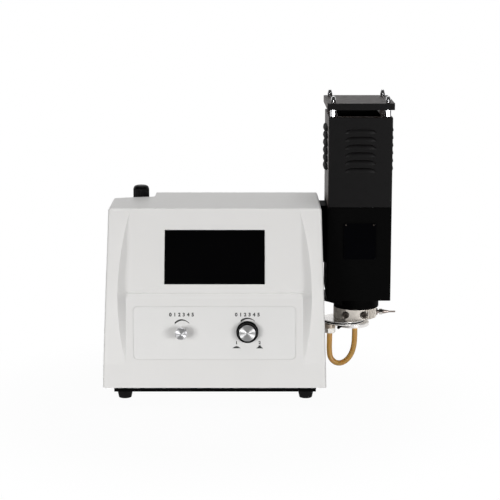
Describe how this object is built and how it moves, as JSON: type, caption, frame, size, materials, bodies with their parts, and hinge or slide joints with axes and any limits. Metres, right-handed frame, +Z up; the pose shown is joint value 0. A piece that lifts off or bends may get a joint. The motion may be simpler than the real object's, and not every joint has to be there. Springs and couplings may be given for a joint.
{
  "type": "flame photometer",
  "caption": "Bench flame photometer: pale console with a leaning screen and two valve knobs, and a black louvred chimney over a burner at its right side.",
  "frame": {"origin": "middle of the object's bounding box, on the surface that it stands on", "axes": "+Z up; the front with the screen and the knobs looks along -Y; +X to the right, towards the chimney and the nebuliser"},
  "size_m": [0.4596, 0.3528, 0.4658],
  "materials": {
    "case_plastic": "satin paint on moulded plastic",
    "overlay": "fine matt film",
    "black_paint": "baked semi-gloss paint",
    "black_plastic": "satin",
    "black_rubber": "matt",
    "chrome": "polished",
    "steel": "fine turned",
    "aluminium": "turned and polished",
    "brass": "turned",
    "circuit_board": "solder mask",
    "screen_glass": "glossy, black behind",
    "dark_glass": "deeply tinted",
    "clear_glass": "clear",
    "clear_hose": "translucent",
    "amber_hose": "smooth, slightly translucent"
  },
  "bodies": {
    "instrument": {"front_moulding": "case_plastic", "top_cover": "case_plastic", "control_plate": "overlay", "base_pan": "black_paint", "rear_panel": "black_paint", "chimney_housing": "black_paint", "louvred_cover": "black_paint", "chimney_lid": "black_paint", "chimney_bracket": "black_paint", "optical_coupling": "black_paint", "optical_block": "black_paint", "burner_collar": "black_paint", "mains_inlet": "black_plastic", "switch_frame": "black_plastic", "foot_front_left": "black_rubber", "foot_front_right": "black_rubber", "foot_rear_left": "black_rubber", "foot_rear_right": "black_rubber", "fine_valve_nut": "chrome", "nebuliser_nut": "chrome", "lid_spacer_1": "chrome", "lid_spacer_2": "chrome", "lid_spacer_3": "chrome", "lid_spacer_4": "chrome", "lid_bolt_1": "chrome", "lid_bolt_2": "chrome", "lid_bolt_3": "chrome", "lid_bolt_4": "chrome", "display_module": "steel", "igniter_electrode": "steel", "burner_head": "steel", "clamp_screw_left": "steel", "clamp_screw_right": "steel", "drain_fitting": "steel", "nebuliser": "steel", "power_supply": "aluminium", "regulator_body": "aluminium", "mixing_chamber": "aluminium", "chamber_flange": "aluminium", "fine_valve_body": "brass", "gas_valve_body": "brass", "air_inlet": "brass", "gas_inlet": "brass", "main_board": "circuit_board", "detector_board": "circuit_board", "touch_screen": "screen_glass", "window_glass": "dark_glass", "interference_filter": "dark_glass", "flame_glass": "clear_glass", "beam_lens": "clear_glass", "air_tube": "clear_hose", "drain_hose": "amber_hose", "gas_tube": "amber_hose"},
    "fine_adjust": {"fine_adjust_knob": "chrome"},
    "gas_spindle": {"gas_valve_stem": "steel"},
    "gas_knob": {"gas_valve_knob": "black_plastic", "gas_valve_cap": "aluminium"},
    "regulator_spindle": {"regulator_stem": "steel"},
    "regulator_cap": {"regulator_knob": "black_plastic"},
    "rocker": {"power_rocker": "black_plastic"}
  },
  "joints": [
    {"name": "fine_adjust_turn", "type": "hinge", "parent": "instrument", "child": "fine_adjust", "pos_m": [-0.1088, -0.15212, 0.1167], "axis": [0, -0.9989, 0.0476], "range_deg": [0, 1080]},
    {"name": "gas_valve_turn", "type": "hinge", "parent": "instrument", "child": "gas_spindle", "pos_m": [-0.0088, -0.15212, 0.1167], "axis": [0, -0.9989, 0.0476], "range_deg": [-145, 145]},
    {"name": "gas_valve_push", "type": "slide", "parent": "gas_spindle", "child": "gas_knob", "axis": [0, 0.9989, -0.0476], "range_m": [0, 0.003], "stiffness_N_per_m": 700, "springref_m": -0.003},
    {"name": "regulator_turn", "type": "hinge", "parent": "instrument", "child": "regulator_spindle", "pos_m": [-0.1803, 0.03964, 0.2765], "axis": [0, 0, 1], "range_deg": [0, 1440]},
    {"name": "regulator_lock_pull", "type": "slide", "parent": "regulator_spindle", "child": "regulator_cap", "axis": [0, 0, 1], "range_m": [0, 0.0035]},
    {"name": "power_rocker_tip", "type": "hinge", "parent": "instrument", "child": "rocker", "pos_m": [-0.0868, 0.15294, 0.075], "axis": [1, 0, 0], "range_deg": [-18, 0]}
  ]
}
